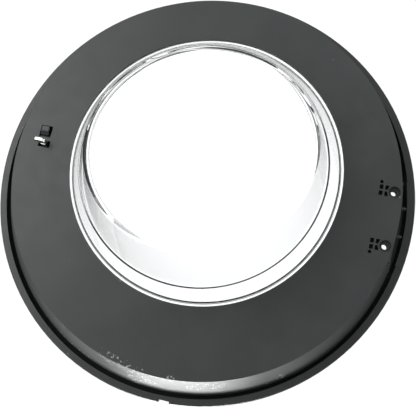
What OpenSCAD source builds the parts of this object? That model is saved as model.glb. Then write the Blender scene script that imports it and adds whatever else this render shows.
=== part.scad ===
// Front-loading washing-machine door without its hinge.
// The door stands upright: +Z is up, +X is the hinge side, and the glass bowl points along -Y.
// The modules below draw in the door's own plane: x towards the hinge, y up, z towards the drum,
// with z = 0 on the flat face of the inner frame. place() turns that into the part's frame.

/* [Outer frame] */
// Radius of the door's outer edge
outer_r = 235; // [233:1:240]
// Inner radius of the lip that surrounds the inner frame
lip_r = 227.2; // [226.5:0.1:228.5]
// Depth of the lip's face below the flat face of the inner frame
lip_depth = 41.4; // [40:0.2:43]
// Depth of the user-side front panel
front_depth = 68; // [67.5:0.5:70]
// Wall thickness of the outer frame
shell_t = 3; // [2.5:0.1:3.2]
// Radius of the flat part of the front panel
front_flat_r = 210; // [209:0.5:211]
// Radius of the window opening
window_r = 168; // [167:0.5:169]

/* [Inner frame] */
// Radius of the flat face
plate_r = 209.4; // [208.5:0.1:210]
// Offset of the flat face from the outer frame's centre, towards the hinge
plate_dx = 3.7; // [3:0.1:4]
// Offset of the flat face from the outer frame's centre, upwards
plate_dy = 2.7; // [2:0.1:3]
// Thickness of the flat face
plate_t = 3; // [2.8:0.1:3.2]
// Radius of the skirt's foot
foot_r = 222; // [221:0.1:222.5]
// Wall thickness of the skirt
skirt_t = 2.5; // [2.2:0.1:3]
// Rounding of the edge between the flat face and the skirt
edge_round = 0.9; // [0.6:0.1:1.6]

/* [Glass bowl] */
// Radius of the opening that the bowl comes through
opening_r = 147.8; // [147:0.1:148.5]
// Offset of the bowl's axis from the outer frame's centre, towards the hinge
bowl_dx = 3.2; // [3:0.1:3.6]
// Offset of the bowl's axis from the outer frame's centre, upwards
bowl_dy = 16.3; // [15.5:0.1:17]
// Radius of the clamped flange
flange_r = 158; // [157:0.5:158.5]
// Radius at the top of the shoulder
shoulder_r = 131.6; // [130:0.2:133]
// Height of the shoulder above the flat face
shoulder_h = 20; // [18:0.5:22]
// Width of the step at the top of the shoulder
step_w = 1.6; // [1:0.1:2]
// Radius lost for each millimetre of height above the shoulder
wall_draft = 0.36; // [0.3:0.01:0.4]
// Height of the tilted end on the bowl's axis
end_h = 59.6; // [56:0.2:62]
// Tilt of the end, lower at the top of the door
end_tilt = 16.8; // [15:0.2:18]
// Thickness of the glass
glass_t = 4.5; // [4:0.1:5]

/* [Hinge seat] */
// Distance of the hinge screws from the outer frame's centre
hinge_x = 203.5; // [203:0.1:204]
// Distance between the two hinge screws
hinge_pitch = 57.2; // [56:0.1:58]
// Radius of the hinge screw holes
hinge_hole_r = 3; // [2.9:0.05:3.4]
// Radius of the counterbores for the screw heads
counterbore_r = 6.15; // [5.8:0.05:6.4]
// Depth of the counterbores
counterbore_depth = 4.8; // [4.4:0.1:5.2]
// Depth of the seat plane that the hinge leaf is clamped to
seat_depth = 13; // [12:0.1:13.5]
// Half height of the pocket that the hinge goes into
pocket_half = 42; // [40:0.5:44]
// Thickness of the steel backing plate
plate_steel_t = 1.5; // [1:0.1:2]

/* [Latch] */
// Pivot of the hook, measured from the outer frame's centre towards the handle
hook_x = 178; // [177.5:0.1:178.5]
// Depth of the hook's pivot below the flat face
hook_depth = 12; // [11.5:0.1:12.5]
// Lower side of the hook
hook_y = 5.3; // [5:0.1:5.6]
// Thickness of the hook
hook_t = 5; // [4.6:0.1:5.2]
// Height of the hook's tip above the flat face
hook_h = 13; // [12:0.2:14]
// Radius of the pivot pin
pin_r = 2; // [1.8:0.05:2]
// Radial clearance of the hook on its pin
pin_gap = 0.05; // [0.03:0.01:0.08]

/* [Fasteners] */
// Number of screws in the retainer ring
retainer_screw_count = 8; // [6:1:10]
// Radius of a screw's shank
screw_r = 1.7; // [1.6:0.05:1.75]
// Radius of a pilot hole
pilot_r = 1.75; // [1.75:0.05:1.9]
// Radius of a screw head
head_r = 3.6; // [3.2:0.1:3.8]
// Height of a screw head
head_h = 2.4; // [2:0.1:2.6]

/* [Hidden] */

$fn = 96;
round_fn = 180;
over = 1;
slice = 0.02;

plastic = [0.27, 0.28, 0.28];
dark_plastic = [0.12, 0.12, 0.13];
rubber = [0.16, 0.16, 0.17];
zinc = [0.8, 0.8, 0.78];
grey_plastic = [0.72, 0.73, 0.74];
clear_glass = [0.85, 0.93, 0.94, 0.35];

// Stack behind the flat face: seal, glass flange, retainer ring
seal_t = 2;
flange_t = 6;
retainer_t = 4;
seal_z = -plate_t - seal_t;
flange_z = seal_z - flange_t;
retainer_z = flange_z - retainer_t;
seal_r = flange_r - 8.5;
rib_r = flange_r + 1.2;
rib_t = 2;
retainer_in_r = flange_r - 6;
retainer_out_r = 169;
retainer_screw_r = 165;
retainer_boss_r = 3.6;
funnel_r = 170;
funnel_z = -60;
funnel_t = 2;

// Outer frame
rim_w = outer_r - front_flat_r;
rim_z = -lip_depth - 4.6;
rim_h = front_depth + rim_z;
rim_steps = 10;
panel_z = -front_depth + shell_t;
panel_in_r = 143;
skirt_foot_z = -52;
rest_in_r = 217;
rest_out_r = 224;
notch_x = 11.6;
notch_w = 12;
notch_depth = 3.2;
notch_z = -58;

// Window
cover_seal_t = 1;
cover_t = 2.5;
cover_r = 176;
cover_dome_r = 166;
cover_dome_h = 8;
cover_z = -front_depth - cover_seal_t;
bezel_in_r = 170;
bezel_out_r = 188;
bezel_h = 8;
bezel_t = 2;

// Screws that hold the two frames together
frame_screw_r = 182.6;
frame_screw_angles = [35, 90, 145, 215, 270, 325];
post_r = 4.3;
post_z = -50;

// Hinge pocket
hinge_ys = [-hinge_pitch / 2, hinge_pitch / 2];
pocket_x = 188;
pocket_cut_x = 205;
pocket_end_x = 213;
skirt_cut_z = -3.4;
pocket_wall = 2;
pocket_out_x = 219;
pocket_open_half = 50;
slot_rib_y = 15;
slot_rib_t = 1.4;
slot_rib_x = [211, 218.6];
slot_rib_z = [-12, -5];
pad_angles = [-10.3, 13.4];
pad_r = [226.2, 228.2, 233.8];
pad_h = [1.4, 0.6];
pad_foot = 0.7;
steel_x = [190, 210];
steel_half = 38;
core_w = 3.8;
core_h = 4.8;
core_pitch = 6.6;
core_xs = [-13.9, -8.1];
core_depth = 8;
dot_r = 1.8;
dot_dx = -14.4;
dot_dy = 8.7;
boss_clear_r = 7.5;

// Latch housing and its neighbours
housing_x = [-190, -169.8];
housing_y = [0.5, 31];
housing_z = [-24, -3.2];
housing_t = 1.7;
hook_slot_x = [-184, -170.5];
hook_slot_y = [4, 11.6];
hook_boss_r = 5;
shank_x = [0.2, 5.2];
nose_x = -6.4;
hook_bevel = [2.4, 6];
ear_t = 2.4;
ear_ys = [hook_y - 0.5 - ear_t, 16.2];
pin_y = [ear_ys[0] - 0.3, 20.4];
clip_r = 3.4;
clip_t = 0.8;
clip_y = ear_ys[1] + ear_t;
tab_ys = [-5, 36.5];
tab_t = 3;
tab_z = -8;
peg_hole_x = [-185.2, -172];
peg_hole_y = [15.4, 28.6];
peg_base_x = [-184, -174.2];
peg_base_y = [17.4, 27.6];
peg_top_x = [-183, -174.2];
peg_top_y = [21.2, 27.4];
peg_top_h = 3.6;
peg_step_z = -2.6;
peg_foot_y = [20.3, 27.6];
peg_z = -8;

// Torsion spring of the hook
spring_wire_r = 0.45;
spring_r = 3.2;
spring_turns = 4;
spring_y = 11.4;
spring_leg = 7;
spring_steps = 20;
spring_sides = 8;
tab_peg_r = 0.9;
tab_peg_h = 2.6;

// Handle in the front panel
handle_angles = [167, 193];
handle_in_r = 188.5;
handle_out_r = 207;
handle_grip_r = 215;
handle_t = 2;
handle_z = -46;
handle_lip_z = panel_z + 3;
handle_screw_angles = [166, 194];
handle_screw_r = 200;
handle_boss_r = 3.4;
handle_ear_z = panel_z + 2;

// Puts the door's plane upright, with the origin midway between the hinge screws on their seat
module place() {
  translate([-hinge_x, -seat_depth, 0]) rotate([90, 0, 0]) children();
}

// Moves to the bowl's axis
module on_bowl_axis() {
  translate([bowl_dx, bowl_dy, 0]) children();
}

// A disc between two depths
module disc(r, z0, z1) {
  translate([0, 0, z0]) cylinder(r = r, h = z1 - z0);
}

// A flat ring between two depths
module ring(r_in, r_out, z0, z1) {
  difference() {
    disc(r_out, z0, z1);
    disc(r_in, z0 - over, z1 + over);
  }
}

// A box between pairs of limits
module block(x, y, z) {
  translate([x[0], y[0], z[0]]) cube([x[1] - x[0], y[1] - y[0], z[1] - z[0]]);
}

// A segment of a ring between two angles
module sector(r_in, r_out, z0, z1, a) {
  rotate([0, 0, a[0]])
    rotate_extrude(angle = a[1] - a[0], $fn = round_fn)
      translate([r_in, z0]) square([r_out - r_in, z1 - z0]);
}

// Pan-head screw, head downwards, with its head seated at z
module screw(z, length, head = head_r) {
  disc(screw_r, z - over, z + length);
  disc(head, z - head_h, z);
}

// Places its child at each retainer screw
module at_retainer_screws() {
  on_bowl_axis()
    for (i = [0 : retainer_screw_count - 1])
      rotate([0, 0, (i + 0.5) * 360 / retainer_screw_count])
        translate([retainer_screw_r, 0, 0]) children();
}

// Places its child at each screw between the two frames
module at_frame_screws() {
  on_bowl_axis()
    for (a = frame_screw_angles)
      rotate([0, 0, a]) translate([frame_screw_r, 0, 0]) children();
}

// Solid inside the skirt: an oblique cone from the eccentric flat face to the concentric foot
module skirt_form(inset, top, rounding) {
  hull() {
    translate([plate_dx, plate_dy, top - slice])
      cylinder(r = plate_r - inset - rounding, h = slice, $fn = round_fn);
    translate([plate_dx, plate_dy, top - rounding * 0.3 - slice])
      cylinder(r = plate_r - inset - rounding * 0.3, h = slice, $fn = round_fn);
    translate([plate_dx * 0.96, plate_dy * 0.96, top - rounding - slice])
      cylinder(r = plate_r - inset + rounding * 0.2, h = slice, $fn = round_fn);
    translate([0, 0, -lip_depth])
      cylinder(r = foot_r - inset, h = slice, $fn = round_fn);
  }
}

// Cored squares and the round core beside one hinge screw hole
module hinge_cores(side) {
  difference() {
    for (dx = core_xs)
      for (row = [-0.5, 0.5])
        translate([dx - core_w / 2, row * core_pitch - core_h / 2, -core_depth])
          cube([core_w, core_h, core_depth + over]);
    disc(boss_clear_r, -core_depth - over, 2 * over);
  }
  translate([dot_dx, side * dot_dy, 0]) disc(dot_r, -core_depth, over);
}

module inner_frame_solid() {
  difference() {
    skirt_form(0, 0, edge_round);
    skirt_form(skirt_t, -plate_t, 0);
  }
  ring(foot_r - skirt_t, foot_r, skirt_foot_z, -lip_depth + slice);
  on_bowl_axis() ring(rib_r, rib_r + rib_t, flange_z, -plate_t + slice);
  at_retainer_screws() disc(retainer_boss_r, flange_z, -plate_t + slice);
  at_frame_screws() disc(post_r, post_z, -plate_t + slice);
  // Seat of the hinge and the walls round its pocket
  intersection() {
    block([pocket_x - pocket_wall, outer_r], [-pocket_half - pocket_wall, pocket_half + pocket_wall],
      [-seat_depth, -plate_t + slice]);
    skirt_form(slice, -slice, edge_round);
  }
  block([pocket_x - pocket_wall, pocket_x], [-pocket_half - pocket_wall, pocket_half + pocket_wall],
    [skirt_foot_z, -seat_depth + slice]);
  for (side = [-1, 1])
    block([pocket_x - pocket_wall, pocket_end_x], [side * pocket_half - (1 - side) / 2 * pocket_wall,
      side * pocket_half + (1 + side) / 2 * pocket_wall], [skirt_foot_z, -seat_depth + slice]);
  // Bosses for the latch housing's screws
  for (y = tab_ys)
    translate([-hook_x - 1, y, 0]) disc(4, tab_z, -plate_t + slice);
}

module inner_frame() {
  // Thin ribs that divide the hinge slot
  color(plastic) place()
    for (y = [-slot_rib_y, slot_rib_y])
      block(slot_rib_x, [y - slot_rib_t / 2, y + slot_rib_t / 2], slot_rib_z);
  color(plastic) place() difference() {
    inner_frame_solid();
    on_bowl_axis() disc(opening_r, -plate_t - over, over);
    at_retainer_screws() disc(pilot_r, flange_z - over, -plate_t - 0.5);
    at_frame_screws() disc(pilot_r, post_z - over, post_z + 16);
    // Hinge: screw holes, counterbores, cores, bed of the steel plate, side of the pocket
    for (i = [0, 1]) translate([hinge_x, hinge_ys[i], 0]) {
      disc(hinge_hole_r, -seat_depth - over, over);
      disc(counterbore_r, -counterbore_depth, over);
      hinge_cores(i * 2 - 1);
    }
    block(steel_x, [-steel_half, steel_half], [-seat_depth - over, -seat_depth + plate_steel_t]);
    block([pocket_cut_x, outer_r + over], [-pocket_half, pocket_half], [skirt_foot_z - over, -seat_depth]);
    block([plate_r + plate_dx, outer_r + over], [-pocket_half, pocket_half],
      [-seat_depth - over, skirt_cut_z]);
    // Latch: slot of the hook, hole of the guide peg, pilots of the housing's screws
    block(hook_slot_x, hook_slot_y, [-plate_t - over, over]);
    block(peg_hole_x, peg_hole_y, [-plate_t - over, over]);
    for (y = tab_ys)
      translate([-hook_x - 1, y, 0]) disc(pilot_r, tab_z - over, -plate_t - 0.5);
    // Drain notch at the foot
    block([notch_x - notch_w / 2, notch_x + notch_w / 2], [-foot_r - over, -foot_r + skirt_t + over],
      [skirt_foot_z - over, -lip_depth - 4]);
  }
}

// Quarter ellipse of the rim, in section
function rim_arc(w, h) = [
  for (i = [0 : rim_steps])
    [front_flat_r + w * cos(90 * i / rim_steps), rim_z - h * sin(90 * i / rim_steps)]
];

module outer_frame_section() {
  outer = rim_arc(rim_w, rim_h);
  inner = rim_arc(rim_w - shell_t, rim_h - shell_t);
  lip_round = 0.8;
  polygon(concat(
    [[lip_r, -lip_depth], [outer_r - lip_round, -lip_depth], [outer_r, -lip_depth - lip_round]],
    outer,
    [[panel_in_r, -front_depth], [panel_in_r, panel_z]],
    [for (i = [rim_steps : -1 : 0]) inner[i]],
    [[outer_r - shell_t, -lip_depth - shell_t], [lip_r, -lip_depth - shell_t]]
  ));
}

module outer_frame() {
  color(plastic) place() difference() {
    union() {
      rotate_extrude($fn = round_fn) outer_frame_section();
      // Ring that the inner frame's foot rests on
      rotate_extrude($fn = round_fn)
        polygon([[rest_in_r, skirt_foot_z], [rest_out_r, skirt_foot_z], [rest_out_r, rim_z - 15],
          [rest_out_r - 2, rim_z - 18], [rest_in_r, rim_z - 20]]);
      at_frame_screws() disc(post_r + 0.7, panel_z - slice, post_z);
      // Walls round the hinge pocket
      for (side = [-1, 1])
        block([pocket_x, 214], [side * pocket_open_half - (1 - side) / 2 * pocket_wall,
          side * pocket_open_half + (1 + side) / 2 * pocket_wall], [panel_z - slice, skirt_foot_z]);
      block([pocket_x, 190], [-pocket_open_half, pocket_open_half], [panel_z - slice, skirt_foot_z]);
      // Raised pad and border on the lip beside the hinge
      sector(pad_r[0], pad_r[1], -lip_depth - pad_foot, -lip_depth + pad_h[0], pad_angles);
      sector(pad_r[1] - pad_foot, pad_r[2], -lip_depth - pad_foot, -lip_depth + pad_h[1], pad_angles);
      for (a = handle_screw_angles)
        rotate([0, 0, a]) translate([handle_screw_r, 0, 0])
          disc(handle_boss_r, panel_z - slice, handle_ear_z);
    }
    on_bowl_axis() disc(window_r, -front_depth - over, panel_z + over);
    at_frame_screws() {
      disc(screw_r + 0.4, -front_depth - over, post_z + over);
      disc(head_r + 0.5, -front_depth - over, -front_depth + head_h + 0.4);
    }
    // Window of the hinge pocket in the front panel, and the gap in the resting ring
    block([190, pocket_out_x], [-pocket_open_half, pocket_open_half],
      [-front_depth - over, skirt_foot_z + over]);
    sector(handle_in_r, handle_out_r, -front_depth - over, panel_z + over,
      [handle_angles[0] - 0.05, handle_angles[1] + 0.05]);
    for (a = handle_screw_angles)
      rotate([0, 0, a]) translate([handle_screw_r, 0, 0])
        disc(pilot_r, panel_z - 1, handle_ear_z + over);
    // Drain notch in the lip's edge
    block([notch_x - notch_w / 2, notch_x + notch_w / 2], [-outer_r - over, -outer_r + notch_depth],
      [notch_z, -lip_depth + over]);
  }
}

// Solid of the bowl, drawn in by the given wall thickness, from its flange to the tilted end
module bowl_form(inset, z0) {
  top_h = end_h + 40;
  top_r = shoulder_r - step_w - wall_draft * (top_h - shoulder_h);
  intersection() {
    rotate_extrude($fn = round_fn) polygon([
      [0, z0], [opening_r - 1 - inset, z0], [opening_r - 1 - inset, seal_z + 1],
      [shoulder_r - inset, shoulder_h], [shoulder_r - step_w - inset, shoulder_h],
      [top_r - inset, top_h], [0, top_h]
    ]);
    translate([0, 0, end_h - inset]) rotate([-end_tilt, 0, 0])
      translate([0, 0, -front_depth * 4]) cylinder(r = outer_r * 1.5, h = front_depth * 4);
  }
}

module glass_bowl() {
  color(clear_glass) place() on_bowl_axis() difference() {
    union() {
      bowl_form(0, flange_z);
      disc(flange_r, flange_z, seal_z);
    }
    bowl_form(glass_t, flange_z - over);
  }
}

module glass_seal() {
  color(rubber) place() on_bowl_axis() ring(seal_r, flange_r, seal_z, -plate_t);
}

module retainer_ring() {
  color(grey_plastic) place() difference() {
    union() {
      on_bowl_axis() ring(retainer_in_r, retainer_out_r, retainer_z, flange_z);
      on_bowl_axis() rotate_extrude($fn = round_fn)
        polygon([[retainer_in_r, retainer_z + slice], [retainer_in_r + funnel_t, retainer_z + slice],
          [funnel_r + funnel_t, funnel_z], [funnel_r, funnel_z]]);
    }
    at_retainer_screws() disc(screw_r + 0.3, retainer_z - over, flange_z + over);
  }
}

module retainer_screws() {
  color(zinc) place() at_retainer_screws() screw(retainer_z, flange_z - retainer_z + 6.5);
}

module window_cover() {
  dome_r = (cover_dome_r * cover_dome_r + cover_dome_h * cover_dome_h) / (2 * cover_dome_h);
  color(clear_glass) place() on_bowl_axis() translate([0, 0, cover_z]) {
    ring(cover_dome_r - 0.5, cover_r, -cover_t, 0);
    intersection() {
      disc(cover_dome_r, -cover_dome_h - 2 * cover_t, over);
      translate([0, 0, dome_r - cover_dome_h - cover_t]) difference() {
        sphere(r = dome_r, $fn = round_fn);
        sphere(r = dome_r - cover_t, $fn = round_fn);
      }
    }
  }
}

module window_seal() {
  color(rubber) place() on_bowl_axis() ring(window_r + 1.5, cover_r, cover_z, -front_depth);
}

module window_bezel() {
  z0 = -front_depth - bezel_h;
  edge = 1.5;
  channel_r = [cover_r + 0.6, bezel_out_r - 1.4];
  color(zinc) place() on_bowl_axis() rotate_extrude($fn = round_fn) polygon([
    [bezel_in_r, cover_z - cover_t], [bezel_in_r, z0 + edge], [bezel_in_r + edge, z0],
    [bezel_out_r - 2 * edge, z0], [bezel_out_r - edge * 0.7, z0 + edge * 0.7],
    [bezel_out_r, z0 + 2.4 * edge], [bezel_out_r, -front_depth], [channel_r[1], -front_depth],
    [channel_r[1], z0 + bezel_t + edge], [channel_r[0], z0 + bezel_t + edge],
    [channel_r[0], cover_z - cover_t]
  ]);
}

module frame_screws() {
  color(zinc) place() at_frame_screws() screw(-front_depth + head_h, post_z + 12 + front_depth);
}

module hinge_plate() {
  gap = 0.2;
  color(zinc) place() difference() {
    block([steel_x[0] + gap, steel_x[1] - gap], [-steel_half + gap, steel_half - gap],
      [-seat_depth, -seat_depth + plate_steel_t]);
    for (y = hinge_ys)
      translate([hinge_x, y, 0]) disc(hinge_hole_r, -seat_depth - over, 0);
  }
}

module latch_housing() {
  rail_x = [housing_x[0] + housing_t, housing_x[1] - housing_t];
  color(dark_plastic) place() difference() {
    union() {
      block(housing_x, housing_y, housing_z);
      for (y = tab_ys)
        translate([-hook_x - 1, y, 0]) disc(5, tab_z - tab_t, tab_z);
      for (side = [0, 1])
        block([-hook_x - 6, -hook_x + 4], side == 0 ? [tab_ys[0], housing_y[0] + 0.5]
          : [housing_y[1] - 0.5, tab_ys[1]], [tab_z - tab_t, tab_z]);
    }
    // Bay of the hook and the spring, open towards the plate
    block(rail_x, [ear_ys[0] + ear_t, ear_ys[1]], [housing_z[0] + housing_t, over]);
    // Bay behind the second ear, below the seat of the guide peg
    block(rail_x, [ear_ys[1] + ear_t, 20.2], [housing_z[0] + housing_t, over]);
    // Seat of the guide peg
    block(rail_x, [20, housing_y[1] - housing_t], [peg_z, over]);
    translate([-hook_x, housing_y[0] - over, -hook_depth]) rotate([-90, 0, 0])
      cylinder(r = pin_r + pin_gap, h = 21.5);
    for (y = tab_ys)
      translate([-hook_x - 1, y, 0]) disc(screw_r + 0.3, tab_z - tab_t - over, tab_z + over);
    for (y = tab_ys)
      translate([-hook_x - 1, y, 0]) disc(head_r + 0.4, tab_z - tab_t - 8, tab_z - tab_t);
  }
  // Post that the spring's fixed leg pushes on
  color(dark_plastic) place()
    block([-hook_x + spring_r - spring_wire_r - 2, -hook_x + spring_r - spring_wire_r],
      [spring_y - 0.6, ear_ys[1] + slice], [housing_z[0] + housing_t - slice, -hook_depth - spring_r - 1.2]);
}

module latch_hook() {
  arm_h = hook_h + hook_depth;
  nose_h = arm_h - 1.6;
  color(zinc) place() translate([-hook_x, hook_y + hook_t, -hook_depth]) rotate([90, 0, 0]) {
    difference() {
      union() {
        cylinder(r = hook_boss_r, h = hook_t);
        linear_extrude(height = hook_t) polygon([
          [shank_x[0], -1], [shank_x[1] - 0.8, -1], [shank_x[1], 3], [shank_x[1], arm_h - 3],
          [shank_x[1] - 2.4, arm_h], [nose_x + 1.2, arm_h], [nose_x, nose_h], [nose_x, nose_h - 1.6],
          [shank_x[0], nose_h - 4]
        ]);
        // Side peg that the spring's moving leg pushes on
        translate([spring_r - spring_wire_r - tab_peg_r - 0.02, spring_leg - 1.5, -tab_peg_h])
          cylinder(r = tab_peg_r, h = tab_peg_h + over);
      }
      translate([0, 0, -over]) cylinder(r = pin_r + pin_gap, h = hook_t + 2 * over);
      // Bevel along the lower side of the tip
      translate([nose_x - over, 0, 0]) rotate([90, 0, 90])
        linear_extrude(height = shank_x[1] - nose_x + 2 * over) polygon([
          [arm_h - hook_bevel[1], hook_t + over / 2], [arm_h + over, hook_t + over / 2],
          [arm_h + over, hook_t - hook_bevel[0]], [arm_h - hook_bevel[1], hook_t - 0.4]
        ]);
    }
  }
}

module latch_pin() {
  color(zinc) place() translate([-hook_x, 0, -hook_depth]) rotate([-90, 0, 0]) {
    translate([0, 0, pin_y[0]]) cylinder(r = pin_r, h = clip_y - pin_y[0] + 0.1);
    translate([0, 0, clip_y + 0.1]) cylinder(r = pin_r * 0.75, h = clip_t + 0.1);
    translate([0, 0, clip_y + clip_t + 0.1]) cylinder(r = pin_r, h = pin_y[1] - clip_y - clip_t - 0.1);
  }
}

module pin_clip() {
  color(zinc) place() translate([-hook_x, clip_y + 0.1, -hook_depth]) rotate([-90, 0, 0]) difference() {
    cylinder(r = clip_r, h = clip_t);
    translate([0, 0, -over]) cylinder(r = pin_r * 0.75 + 0.02, h = clip_t + 2 * over);
    translate([-pin_r * 0.7, 0, -over]) cube([pin_r * 1.4, clip_r + over, clip_t + 2 * over]);
  }
}

// Centre line of the spring: a straight leg, the coils and a second straight leg
function spring_path() = concat(
  [[spring_r, 0, spring_leg]],
  [for (i = [0 : spring_turns * spring_steps])
    let (t = 360 * i / spring_steps, rise = 2.1 * spring_wire_r * i / spring_steps)
      [spring_r * cos(t), rise, -spring_r * sin(t)]],
  [[spring_r, 2.1 * spring_wire_r * spring_turns, -spring_leg]]
);

// Angle round the pin at each point of the centre line, constant along the legs
function spring_angle(i, n) = i == 0 || i == n - 1 ? 0 : 360 * (i - 1) / spring_steps;

module latch_spring() {
  path = spring_path();
  n = len(path);
  ring_points = [
    for (i = [0 : n - 1]) for (k = [0 : spring_sides - 1])
      let (a = spring_angle(i, n), b = 360 * k / spring_sides, out = spring_wire_r * cos(b))
        path[i] + [out * cos(a), spring_wire_r * sin(b), -out * sin(a)]
  ];
  sides = [
    for (i = [0 : n - 2]) for (k = [0 : spring_sides - 1])
      let (m = (k + 1) % spring_sides)
        [i * spring_sides + k, i * spring_sides + m, (i + 1) * spring_sides + m, (i + 1) * spring_sides + k]
  ];
  first_cap = [[for (k = [spring_sides - 1 : -1 : 0]) k]];
  last_cap = [[for (k = [0 : spring_sides - 1]) (n - 1) * spring_sides + k]];
  color(zinc) place() translate([-hook_x, spring_y, -hook_depth])
    polyhedron(points = ring_points, faces = concat(sides, first_cap, last_cap));
}

module latch_screws() {
  color(zinc) place()
    for (y = tab_ys) translate([-hook_x - 1, y, 0]) screw(tab_z - tab_t, 7);
}

// Wedge beside the hook that centres the door on its lock
module guide_peg() {
  color(dark_plastic) place() {
    hull() {
      block(peg_base_x, peg_base_y, [-slice, 0]);
      block(peg_top_x, peg_top_y, [peg_top_h - slice, peg_top_h]);
    }
    block(peg_base_x, peg_base_y, [peg_step_z, -slice / 2]);
    block(peg_base_x, peg_foot_y, [peg_z, peg_step_z + slice]);
  }
}

// Section of the handle's cup: a narrow mouth in the front panel and a wider space behind it
module cup_section(in_r, mouth_r, wide_r, front, step, back) {
  polygon([[in_r, front], [mouth_r, front], [mouth_r, step], [wide_r, step], [wide_r, back], [in_r, back]]);
}

// Cup behind the front panel that the fingers pull on
module handle_grip() {
  fit = 0.15;
  end_a = 0.7;
  span = handle_angles[1] - handle_angles[0];
  color(dark_plastic) place() difference() {
    union() {
      rotate([0, 0, handle_angles[0]]) rotate_extrude(angle = span, $fn = round_fn)
        cup_section(handle_in_r + fit, handle_out_r - fit, handle_grip_r, -front_depth,
          panel_z + 1.2, handle_z);
      for (a = handle_screw_angles)
        rotate([0, 0, a]) translate([handle_screw_r, 0, 0]) disc(5, handle_ear_z, handle_ear_z + 2.4);
    }
    rotate([0, 0, handle_angles[0] + end_a]) rotate_extrude(angle = span - 2 * end_a, $fn = round_fn)
      cup_section(handle_in_r + handle_t, handle_out_r - handle_t, handle_grip_r - handle_t,
        -front_depth - over, handle_lip_z, handle_z - handle_t);
    for (a = handle_screw_angles)
      rotate([0, 0, a]) translate([handle_screw_r, 0, 0])
        disc(screw_r + 0.3, handle_ear_z - over, handle_ear_z + 2.4 + over);
  }
}

module handle_screws() {
  color(zinc) place()
    for (a = handle_screw_angles)
      rotate([0, 0, a]) translate([handle_screw_r, 0, handle_ear_z + 2.4])
        rotate([180, 0, 0]) screw(0, 4.2, head_r - 0.5);
}

inner_frame();
outer_frame();
glass_bowl();
glass_seal();
retainer_ring();
retainer_screws();
window_cover();
window_seal();
window_bezel();
frame_screws();
hinge_plate();
latch_housing();
latch_hook();
latch_pin();
pin_clip();
latch_spring();
latch_screws();
guide_peg();
handle_grip();
handle_screws();
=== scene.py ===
# A washing-machine door seen from the drum side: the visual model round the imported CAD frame.
import math
import bmesh
import bpy
from mathutils import Matrix, Vector


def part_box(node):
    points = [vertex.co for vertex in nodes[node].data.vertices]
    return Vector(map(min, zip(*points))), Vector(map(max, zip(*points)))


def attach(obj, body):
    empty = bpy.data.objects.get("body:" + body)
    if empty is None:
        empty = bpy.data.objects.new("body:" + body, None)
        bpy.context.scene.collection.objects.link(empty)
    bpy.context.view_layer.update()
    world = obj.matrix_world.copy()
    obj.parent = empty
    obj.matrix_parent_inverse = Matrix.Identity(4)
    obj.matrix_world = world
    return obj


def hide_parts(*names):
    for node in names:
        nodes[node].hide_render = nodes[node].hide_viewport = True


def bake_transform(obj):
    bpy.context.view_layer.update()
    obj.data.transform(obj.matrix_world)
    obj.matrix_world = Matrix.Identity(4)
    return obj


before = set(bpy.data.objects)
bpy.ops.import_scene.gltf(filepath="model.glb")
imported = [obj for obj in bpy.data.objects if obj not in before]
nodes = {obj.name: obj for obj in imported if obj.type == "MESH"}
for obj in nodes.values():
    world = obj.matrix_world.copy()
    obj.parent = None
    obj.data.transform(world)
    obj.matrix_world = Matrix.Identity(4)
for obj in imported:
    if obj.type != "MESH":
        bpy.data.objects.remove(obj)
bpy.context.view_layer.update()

MM = 0.001


# ---------------------------------------------------------------- places, from the CAD frame
def centre_of(node):
    low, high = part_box(node)
    return (low + high) / 2


DOOR = centre_of("outer_frame")
BOWL = centre_of("glass_seal")
DOOR_R = (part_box("outer_frame")[1].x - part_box("outer_frame")[0].x) / 2
# The flat face round the bowl: its plane, then its rim, a little off the outer frame's centre
PLATE_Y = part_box("inner_frame")[0].y
FACE_X = DOOR.x + 3.7 * MM
FACE_Z = DOOR.z + 2.7 * MM
FACE_R = 209.4 * MM


def door_point(x, y, z):
    """A place in the row frame from door millimetres: x to the hinge, y up, z to the drum."""
    return Vector((DOOR.x + x * MM, PLATE_Y - z * MM, DOOR.z + y * MM))


def bowl_point(r, angle, z):
    """A place at a radius and an angle round the bowl's axis, in millimetres and radians."""
    x = BOWL.x + r * MM * math.cos(angle)
    return Vector((x, PLATE_Y - z * MM, BOWL.z + r * MM * math.sin(angle)))


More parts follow.
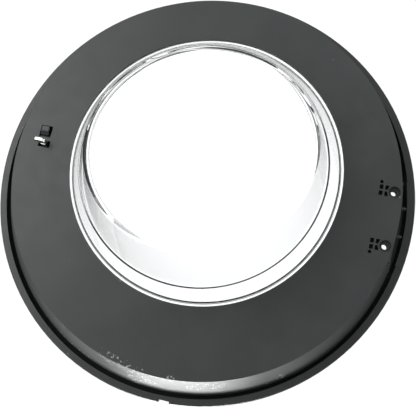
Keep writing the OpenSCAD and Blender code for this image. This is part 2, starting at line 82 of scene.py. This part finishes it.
# ---------------------------------------------------------------- materials
class Nodes:
    """A material under construction: a Principled shader and short calls that add nodes to it."""

    def __init__(self, name):
        self.mat = bpy.data.materials.new(name)
        self.mat.use_nodes = True
        self.tree = self.mat.node_tree
        self.shader = self.tree.nodes["Principled BSDF"]
        coords = self.tree.nodes.new("ShaderNodeTexCoord")
        self.place = coords.outputs["Object"]

    def link(self, a, b):
        self.tree.links.new(a, b)

    def set(self, **values):
        for name, value in values.items():
            self.shader.inputs[name.replace("_", " ")].default_value = value
        return self

    def noise(self, scale, detail, rough=0.5, place=None):
        n = self.tree.nodes.new("ShaderNodeTexNoise")
        n.inputs["Scale"].default_value = scale
        n.inputs["Detail"].default_value = detail
        n.inputs["Roughness"].default_value = rough
        self.link(place or self.place, n.inputs["Vector"])
        return n.outputs["Fac"]

    def stretched(self, x, y, z):
        n = self.tree.nodes.new("ShaderNodeMapping")
        n.inputs["Scale"].default_value = (x, y, z)
        self.link(self.place, n.inputs["Vector"])
        return n.outputs["Vector"]

    def ramp(self, value, *stops):
        n = self.tree.nodes.new("ShaderNodeValToRGB")
        ramp = n.color_ramp
        while len(ramp.elements) < len(stops):
            ramp.elements.new(0.5)
        for element, (at, colour) in zip(ramp.elements, stops):
            element.position = at
            element.color = (*colour, 1) if isinstance(colour, tuple) else (colour,) * 3 + (1,)
        self.link(value, n.inputs["Fac"])
        return n.outputs["Color"]

    def specks(self, scale, share, size):
        """Few small dots: one in each Voronoi cell whose own random value is high."""
        v = self.tree.nodes.new("ShaderNodeTexVoronoi")
        v.inputs["Scale"].default_value = scale
        self.link(self.place, v.inputs["Vector"])
        pick = self.tree.nodes.new("ShaderNodeSeparateColor")
        self.link(v.outputs["Color"], pick.inputs["Color"])
        chosen = self.math("GREATER_THAN", pick.outputs["Red"], 1 - share)
        near = self.math("LESS_THAN", v.outputs["Distance"], size)
        return self.math("MULTIPLY", chosen, near)

    def math(self, operation, a, b):
        n = self.tree.nodes.new("ShaderNodeMath")
        n.operation = operation
        for value, socket in ((a, n.inputs[0]), (b, n.inputs[1])):
            if isinstance(value, (int, float)):
                socket.default_value = value
            else:
                self.link(value, socket)
        return n.outputs["Value"]

    def mix(self, factor, a, b):
        n = self.tree.nodes.new("ShaderNodeMix")
        n.data_type = "RGBA"
        for value, socket in ((factor, n.inputs["Factor"]), (a, n.inputs["A"]), (b, n.inputs["B"])):
            if isinstance(value, tuple):
                socket.default_value = (*value, 1)
            else:
                self.link(value, socket)
        return n.outputs["Result"]

    def colour(self, value):
        self.link(value, self.shader.inputs["Base Color"])

    def roughness(self, value):
        self.link(value, self.shader.inputs["Roughness"])

    def bump(self, height, distance, strength):
        n = self.tree.nodes.new("ShaderNodeBump")
        n.inputs["Distance"].default_value = distance
        n.inputs["Strength"].default_value = strength
        self.link(height, n.inputs["Height"])
        self.link(n.outputs["Normal"], self.shader.inputs["Normal"])


DUST = (0.42, 0.42, 0.41)
SPECK_SCALE = 170
SPECK_SIZE = 0.11
SCUFF = (0.36, 0.37, 0.36)
# Scuffs are nearer the rim of the flat face than this, and lower than this share of its radius
SCUFF_BAND = 6.5 * MM
SCUFF_BELOW = 0.86


def moulded_plastic(name, dark, light, rough=(0.36, 0.48), dust=0.0, scuffs=False):
    """Spark-eroded plastic: fine grain, cloudy colour from handling, dust and scuffed edges."""
    m = Nodes(name)
    cloud = m.noise(22, 4, 0.6)
    colour = m.ramp(cloud, (0.3, dark), (0.72, light))
    if dust:
        colour = m.mix(m.specks(SPECK_SCALE, dust, SPECK_SIZE), colour, DUST)
    if scuffs:
        colour = m.mix(edge_scuffs(m), colour, SCUFF)
    m.colour(colour)
    m.roughness(m.ramp(m.noise(60, 5, 0.65), (0.3, rough[0]), (0.75, rough[1])))
    m.bump(m.noise(2600, 2, 0.5), 0.00002, 0.35)
    return m.mat


def edge_scuffs(m):
    """Small pale scratches near the rim of the flat face, on its lower side only."""
    flat = m.tree.nodes.new("ShaderNodeVectorMath")
    flat.operation = "MULTIPLY"
    flat.inputs[1].default_value = (1, 0, 1)
    m.link(m.place, flat.inputs[0])
    reach = m.tree.nodes.new("ShaderNodeVectorMath")
    reach.operation = "DISTANCE"
    reach.inputs[1].default_value = (FACE_X, 0, FACE_Z)
    m.link(flat.outputs["Vector"], reach.inputs[0])
    near_rim = m.math("GREATER_THAN", reach.outputs["Value"], FACE_R - SCUFF_BAND)
    split = m.tree.nodes.new("ShaderNodeSeparateXYZ")
    m.link(m.place, split.inputs["Vector"])
    low = m.math("LESS_THAN", split.outputs["Z"], FACE_Z - SCUFF_BELOW * FACE_R)
    patch = m.math("GREATER_THAN", m.noise(24, 1), 0.5)
    scratch = m.math("GREATER_THAN", m.noise(430, 3, 0.6), 0.6)
    where = m.math("MULTIPLY", near_rim, low)
    return m.math("MULTIPLY", where, m.math("MULTIPLY", patch, scratch))


def zinc_plate(name, base, rough=(0.18, 0.34)):
    """Bright zinc: cloudy spangle and fine drawing lines."""
    m = Nodes(name).set(Metallic=1.0)
    m.colour(m.ramp(m.noise(240, 3), (0.35, tuple(c * 0.82 for c in base)), (0.7, base)))
    m.roughness(m.ramp(m.noise(420, 3), (0.3, rough[0]), (0.7, rough[1])))
    m.bump(m.noise(900, 2, 0.5, m.stretched(1, 1, 9)), 0.00002, 0.3)
    return m.mat


def clear(name, tint, ior, wave):
    """Clear glass or plastic, with the slight waves of a pressed or moulded surface."""
    m = Nodes(name).set(Transmission_Weight=1.0, IOR=ior, Roughness=0.0)
    m.colour(m.ramp(m.noise(6, 2), (0.3, tint), (0.7, tuple(min(1.0, c * 1.004) for c in tint))))
    m.bump(m.noise(wave, 1.5, 0.4), 0.0006, 0.12)
    return m.mat


def rubber(name, level):
    m = Nodes(name)
    m.colour(m.ramp(m.noise(90, 4), (0.3, (level * 0.85,) * 3), (0.75, (level,) * 3)))
    m.roughness(m.ramp(m.noise(300, 3), (0.3, 0.68), (0.7, 0.85)))
    m.bump(m.noise(1800, 2), 0.00003, 0.5)
    return m.mat


FRAME_DARK = (0.045, 0.0485, 0.047)
FRAME_LIGHT = (0.055, 0.059, 0.057)
door_plastic = moulded_plastic("door_plastic", FRAME_DARK, FRAME_LIGHT, dust=0.012, scuffs=True)
shell_plastic = moulded_plastic("shell_plastic", FRAME_DARK, FRAME_LIGHT, (0.3, 0.44), dust=0.01)
black_plastic = moulded_plastic(
    "black_plastic", (0.012, 0.012, 0.013), (0.02, 0.02, 0.021), (0.3, 0.45)
)
gloss_black = moulded_plastic(
    "gloss_black", (0.012, 0.012, 0.016), (0.017, 0.017, 0.022), (0.08, 0.16)
)
light_plastic = moulded_plastic(
    "light_plastic", (0.74, 0.75, 0.76), (0.8, 0.81, 0.82), (0.35, 0.5)
)
zinc = zinc_plate("zinc", (0.7, 0.7, 0.68))
bright_hook = zinc_plate("bright_hook", (0.86, 0.86, 0.83), (0.1, 0.22))
spring_steel = zinc_plate("spring_steel", (0.5, 0.5, 0.5), (0.25, 0.4))
trim = zinc_plate("trim", (0.8, 0.81, 0.82), (0.06, 0.12))
glass = clear("glass", (0.99, 0.996, 0.996), 1.5, 14)
cover_plastic = clear("cover_plastic", (0.97, 0.98, 0.985), 1.49, 9)
seal_rubber = rubber("seal_rubber", 0.55)
foam = rubber("foam", 0.05)

CAD_MATERIALS = {
    "inner_frame": door_plastic,
    "outer_frame": shell_plastic,
    "glass_seal": seal_rubber,
    "window_seal": foam,
    "retainer_ring": light_plastic,
    "window_cover": cover_plastic,
    "window_bezel": trim,
    "hinge_plate": zinc,
    "retainer_screws": zinc,
    "frame_screws": zinc,
    "latch_screws": zinc,
    "handle_screws": zinc,
    "latch_pin": zinc,
    "pin_clip": spring_steel,
    "latch_housing": black_plastic,
    "handle_grip": black_plastic,
}


# ---------------------------------------------------------------- mesh helpers
def new_piece(name, rings, material):
    """A closed smooth mesh through rings of equal length, capped at both ends."""
    n = len(rings[0])
    last = (len(rings) - 1) * n
    faces = []
    for i in range(len(rings) - 1):
        a, b = i * n, (i + 1) * n
        faces += [(a + k, a + (k + 1) % n, b + (k + 1) % n, b + k) for k in range(n)]
    faces.append(tuple(reversed(range(n))))
    faces.append(tuple(last + k for k in range(n)))
    mesh = bpy.data.meshes.new(name)
    mesh.from_pydata([tuple(v) for ring in rings for v in ring], [], faces)
    mesh.validate()
    obj = bpy.data.objects.new(name, mesh)
    bpy.context.scene.collection.objects.link(obj)
    mesh.shade_smooth()
    mesh.materials.append(material)
    return obj


def face_outwards(obj):
    """All faces turned the same way, out of the solid."""
    bm = bmesh.new()
    bm.from_mesh(obj.data)
    bmesh.ops.recalc_face_normals(bm, faces=bm.faces)
    bm.to_mesh(obj.data)
    bm.free()


WELD_DISTANCE = 0.000005
FLAT_ANGLE = math.radians(0.4)
EDGE_ANGLE = math.radians(35)


def soften(obj, width, segments=2):
    """Small rounds on a hard piece's edges: vertices merged, flat faces joined, then a bevel."""
    if "custom_normal" in obj.data.attributes:
        obj.data.attributes.remove(obj.data.attributes["custom_normal"])
    obj.data.shade_smooth()
    weld = obj.modifiers.new("weld", "WELD")
    weld.merge_threshold = WELD_DISTANCE
    flat = obj.modifiers.new("flat", "DECIMATE")
    flat.decimate_type = "DISSOLVE"
    flat.angle_limit = FLAT_ANGLE
    bevel = obj.modifiers.new("rounds", "BEVEL")
    bevel.width = width
    bevel.segments = segments
    bevel.limit_method = "ANGLE"
    bevel.angle_limit = EDGE_ANGLE
    bevel.harden_normals = True
    normals = obj.modifiers.new("normals", "WEIGHTED_NORMAL")
    normals.keep_sharp = False


# ---------------------------------------------------------------- CAD nodes that stay
# Edge rounds in metres
BEVELS = {
    "inner_frame": 0.00035,
    "outer_frame": 0.0004,
    "handle_grip": 0.0005,
    "window_bezel": 0.0004,
    "latch_housing": 0.0003,
    "window_cover": 0.0004,
    "hinge_plate": 0.0003,
    "retainer_screws": 0.0004,
    "frame_screws": 0.0004,
    "latch_screws": 0.0004,
    "handle_screws": 0.0004,
    "latch_pin": 0.0002,
}
for node_name, material in CAD_MATERIALS.items():
    node = nodes[node_name]
    node.data.materials.clear()
    node.data.materials.append(material)
    if node_name in BEVELS:
        soften(node, BEVELS[node_name])


# ---------------------------------------------------------------- glass bowl
# Millimetres, with heights measured from the flat face towards the drum
FLANGE_R = (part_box("glass_bowl")[1].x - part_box("glass_bowl")[0].x) / 2 / MM
FLANGE_Z = (PLATE_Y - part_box("glass_bowl")[1].y) / MM
FLANGE_T = 6.0
FLANGE_EDGE = 0.6
GLASS_T = 4.5
COLLAR_R = 146.8
SHOULDER_R = 131.6
SHOULDER_H = 20.0
STEP_W = 1.6
STEP_RISE = 0.25
DRAFT = 0.36
END_H = 59.6
END_SLOPE = -math.tan(math.radians(16.8))
# The step stays this far below the tilted end where the end comes down to it
END_GAP = 0.6
# Where the section's two paths start beside the flange, and the small cap in the middle of the end
FOOT_RUN = 5.0
FOOT_RISE = 1.0
FOOT_EDGE = 0.8
HUB_R = 0.02
BOWL_SIDES = 240
CORNER_STEPS = 8
# A round takes up at most this share of a stretch
MOST_REACH = 0.48
# Reach of the round at each corner of the section, and extra points on each stretch between them
CORNER_REACHES = [0, 3.0, 1.2, 0.9, 5.0, 0]
EXTRA_POINTS = [1, 9, 0, 12, 24]


def round_corner(start, corner, end):
    """Quadratic curve from start to end, tangent to the lines through the corner at both ends."""
    points = []
    for i in range(CORNER_STEPS + 1):
        t = i / CORNER_STEPS
        points.append(start * (1 - t) ** 2 + corner * 2 * t * (1 - t) + end * t ** 2)
    return points


def rounded_path(corners, reaches, between):
    """A path with rounded corners and, on each straight stretch, so many points between."""
    corners = [Vector(c) for c in corners]
    out = [corners[0]]
    for i in range(1, len(corners)):
        here = corners[i]
        back = here - corners[i - 1]
        if i < len(corners) - 1:
            on = corners[i + 1] - here
            reach = min(reaches[i], back.length * MOST_REACH, on.length * MOST_REACH)
            start = here - back.normalized() * reach
            curve = round_corner(start, here, here + on.normalized() * reach)
        else:
            curve = [here]
        last = out[-1]
        for k in range(1, between[i - 1] + 1):
            out.append(last.lerp(curve[0], k / (between[i - 1] + 1)))
        out += curve
    return out


def end_corner(sine, inset):
    """Radius and height where the wall meets the tilted end, on one half plane through the axis."""
    wall_r = SHOULDER_R - STEP_W - inset
    end_h = END_H - inset
    slope = END_SLOPE * sine
    h = (end_h + slope * (wall_r + DRAFT * SHOULDER_H)) / (1 + slope * DRAFT)
    return wall_r - DRAFT * (h - SHOULDER_H), h


def bowl_profile(angle, inset):
    """Section of one face of the glass, inset mm in from its outer face: flange to end's middle."""
    corner_r, corner_h = end_corner(math.sin(angle), inset)
    top = FLANGE_Z + FLANGE_T
    step_h = min(SHOULDER_H, corner_h - END_GAP)
    if inset:
        foot = [(COLLAR_R - inset, FLANGE_Z), (COLLAR_R - inset, top + FOOT_RISE)]
    else:
        foot = [(COLLAR_R + FOOT_RUN, top), (COLLAR_R, top)]
    corners = foot + [
        (SHOULDER_R - inset, step_h),
        (SHOULDER_R - STEP_W - inset, step_h + STEP_RISE),
        (corner_r, corner_h),
        (HUB_R, END_H - inset),
    ]
    return rounded_path(corners, CORNER_REACHES, EXTRA_POINTS)


def make_bowl():
    angles = [2 * math.pi * k / BOWL_SIDES for k in range(BOWL_SIDES)]
    outer = [bowl_profile(a, 0) for a in angles]
    inner = [bowl_profile(a, GLASS_T) for a in angles]
    rings = []

    def flat_ring(r, z):
        rings.append([bowl_point(r, a, z) for a in angles])

    def wall_rings(paths, order):
        for i in order:
            rings.append([bowl_point(path[i][0], a, path[i][1]) for path, a in zip(paths, angles)])

    top = FLANGE_Z + FLANGE_T
    count = len(outer[0])
    wall_rings(outer, reversed(range(count)))
    flat_ring(FLANGE_R - FLANGE_EDGE, top)
    flat_ring(FLANGE_R, top - FLANGE_EDGE)
    flat_ring(FLANGE_R, FLANGE_Z + FLANGE_EDGE)
    flat_ring(FLANGE_R - FLANGE_EDGE, FLANGE_Z)
    flat_ring(COLLAR_R - GLASS_T + FOOT_EDGE, FLANGE_Z)
    wall_rings(inner, range(count))
    obj = new_piece("bowl_glass", rings, glass)
    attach(obj, "door")
    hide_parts("glass_bowl")
    face_outwards(obj)
    obj.modifiers.new("normals", "WEIGHTED_NORMAL")


make_bowl()


# ---------------------------------------------------------------- latch hook and guide peg
LATCH_PARTS = (("latch_hook", bright_hook, 0.0006), ("guide_peg", gloss_black, 0.0008))
for node_name, material, width in LATCH_PARTS:
    node = nodes[node_name]
    node.data.materials.clear()
    node.data.materials.append(material)
    soften(node, width, segments=3)


# ---------------------------------------------------------------- latch spring
# Millimetres
SPRING_WIRE_R = 0.45
SPRING_R = 3.2
SPRING_TURNS = 4
SPRING_STEPS = 24
SPRING_SIDES = 12
SPRING_LEG = 7.0
COIL_PITCH = 2.1 * SPRING_WIRE_R


def make_spring():
    """Coil round the pin, in one still pose: its lower leg by the hook, its upper leg on the door.
    """
    pin = centre_of("latch_pin")
    foot_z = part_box("latch_spring")[0].z + SPRING_WIRE_R * MM
    steps = SPRING_TURNS * SPRING_STEPS
    top_z = SPRING_TURNS * COIL_PITCH
    turns = [2 * math.pi * i / SPRING_STEPS for i in range(steps + 1)]
    line = [(SPRING_R, 0.0, SPRING_LEG, 0.0)]
    line += [
        (SPRING_R * math.cos(t), COIL_PITCH * i / SPRING_STEPS, -SPRING_R * math.sin(t), t)
        for i, t in enumerate(turns)
    ]
    line.append((SPRING_R, top_z, -SPRING_LEG, 0.0))
    rings = []
    for x, rise, depth, turn in line:
        ring = []
        for k in range(SPRING_SIDES):
            b = 2 * math.pi * k / SPRING_SIDES
            out = SPRING_WIRE_R * math.cos(b)
            up = rise + SPRING_WIRE_R * math.sin(b)
            side = x + out * math.cos(turn)
            back = depth - out * math.sin(turn)
            ring.append(Vector((pin.x + side * MM, pin.y - back * MM, foot_z + up * MM)))
        rings.append(ring)
    obj = new_piece("hook_spring", rings, spring_steel)
    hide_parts("latch_spring")
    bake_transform(obj)
    face_outwards(obj)


make_spring()


# ---------------------------------------------------------------- floor, light and camera
FLOOR_R = 0.7
FLOOR_GAP = 0.25
FLOOR_SIDES = 96
ROOM_LEVEL = 1.5
# How much of that level is left on the hinge side
HINGE_SIDE_SHARE = 0.75
# Level of the room by direction, from in front of the bowl (0) to behind the door (1)
ROOM = (
    (0.0, 0.16),
    (0.06, 0.22),
    (0.14, 0.75),
    (0.35, 0.85),
    (0.5, 0.45),
    (0.6, 0.16),
    (1.0, 0.14),
)
ROOM_TINT = (0.95, 0.985, 1.0)
BACKDROP_SEEN = 1.05
BACKDROP_THROUGH_GLASS = 1.27


def make_floor():
    mat = Nodes("floor_paint")
    mat.colour(mat.ramp(mat.noise(0.8, 2), (0.3, (0.8, 0.8, 0.8)), (0.7, (0.84, 0.84, 0.84))))
    mat.set(Roughness=0.7)
    z = DOOR.z - DOOR_R - FLOOR_GAP
    angles = [2 * math.pi * k / FLOOR_SIDES for k in range(FLOOR_SIDES)]
    rim = [(DOOR.x + FLOOR_R * math.cos(a), FLOOR_R * math.sin(a), z) for a in angles]
    mesh = bpy.data.meshes.new("floor")
    mesh.from_pydata(rim, [], [tuple(range(FLOOR_SIDES))])
    obj = bpy.data.objects.new("floor", mesh)
    bpy.context.scene.collection.objects.link(obj)
    mesh.materials.append(mat.mat)


def make_world():
    """White to the camera and through the glass. To the surfaces: dim straight in front of the
    bowl, bright all round that, and dark behind the door."""
    world = bpy.data.worlds.new("studio")
    bpy.context.scene.world = world
    world.use_nodes = True
    tree = world.node_tree
    tree.nodes.clear()
    out = tree.nodes.new("ShaderNodeOutputWorld")
    white = tree.nodes.new("ShaderNodeBackground")
    white.inputs["Color"].default_value = (1, 1, 1, 1)
    coords = tree.nodes.new("ShaderNodeTexCoord")
    split = tree.nodes.new("ShaderNodeSeparateXYZ")
    tree.links.new(coords.outputs["Generated"], split.inputs["Vector"])
    depth = tree.nodes.new("ShaderNodeMapRange")
    depth.inputs["From Min"].default_value = -1
    depth.inputs["From Max"].default_value = 1
    tree.links.new(split.outputs["Y"], depth.inputs["Value"])
    room_light = tree.nodes.new("ShaderNodeValToRGB")
    ramp = room_light.color_ramp
    while len(ramp.elements) < len(ROOM):
        ramp.elements.new(0.5)
    for element, (at, level) in zip(ramp.elements, ROOM):
        element.position = at
        element.color = (*(level * c for c in ROOM_TINT), 1)
    tree.links.new(depth.outputs["Result"], room_light.inputs["Fac"])
    room = tree.nodes.new("ShaderNodeBackground")
    side = tree.nodes.new("ShaderNodeMapRange")
    side.inputs["From Min"].default_value = -1
    side.inputs["From Max"].default_value = 1
    side.inputs["To Min"].default_value = ROOM_LEVEL
    side.inputs["To Max"].default_value = ROOM_LEVEL * HINGE_SIDE_SHARE
    tree.links.new(split.outputs["X"], side.inputs["Value"])
    tree.links.new(side.outputs["Result"], room.inputs["Strength"])
    tree.links.new(room_light.outputs["Color"], room.inputs["Color"])
    path = tree.nodes.new("ShaderNodeLightPath")
    seen = tree.nodes.new("ShaderNodeMath")
    seen.operation = "MAXIMUM"
    tree.links.new(path.outputs["Is Camera Ray"], seen.inputs[0])
    tree.links.new(path.outputs["Is Transmission Ray"], seen.inputs[1])
    level = tree.nodes.new("ShaderNodeMapRange")
    level.inputs["To Min"].default_value = BACKDROP_SEEN
    level.inputs["To Max"].default_value = BACKDROP_THROUGH_GLASS
    tree.links.new(path.outputs["Is Transmission Ray"], level.inputs["Value"])
    tree.links.new(level.outputs["Result"], white.inputs["Strength"])
    mix = tree.nodes.new("ShaderNodeMixShader")
    tree.links.new(seen.outputs["Value"], mix.inputs["Fac"])
    tree.links.new(room.outputs["Background"], mix.inputs[1])
    tree.links.new(white.outputs["Background"], mix.inputs[2])
    tree.links.new(mix.outputs["Shader"], out.inputs["Surface"])


def area_light(name, place, aim, size, power):
    data = bpy.data.lights.new(name, "AREA")
    data.shape = "RECTANGLE"
    data.size, data.size_y = size
    data.energy = power
    obj = bpy.data.objects.new(name, data)
    bpy.context.scene.collection.objects.link(obj)
    obj.location = place
    obj.rotation_euler = (aim - place).to_track_quat("-Z", "Y").to_euler()
    obj.visible_camera = False


# Name, place and aim in door millimetres, size in metres, and power in watts
AREA_LIGHTS = (
    ("left_box", (-840, 220, 1050), (0, 0, 0), (0.9, 0.9), 6),
    ("top_box", (300, 1100, 700), (0, 0, 0), (1.0, 0.7), 0.5),
    ("under_panel", (45, -440, -120), (45, -212, -20), (0.26, 0.12), 2.8),
)


def make_lights():
    for name, place, aim, size, power in AREA_LIGHTS:
        area_light(name, door_point(*place), door_point(*aim), size, power)


# The photograph's view: 0.69 m from the door's middle, a little below it and to the hinge side
CAMERA_PLACE = (110.7, -150.3, 663.8)
CAMERA_AIM = (16.7, -22.4, 0)
CAMERA_ROLL = math.radians(12.95)
CAMERA_LENS = 55.9


def make_camera():
    data = bpy.data.cameras.new("camera")
    data.lens = CAMERA_LENS
    data.sensor_width = 36.0
    obj = bpy.data.objects.new("camera", data)
    bpy.context.scene.collection.objects.link(obj)
    place = door_point(*CAMERA_PLACE)
    turn = (door_point(*CAMERA_AIM) - place).to_track_quat("-Z", "Y").to_matrix().to_4x4()
    roll = Matrix.Rotation(CAMERA_ROLL, 4, "Z")
    obj.matrix_world = Matrix.Translation(place) @ turn @ roll
    bpy.context.scene.camera = obj


make_floor()
make_world()
make_lights()
make_camera()
bpy.context.scene.view_settings.view_transform = "Standard"
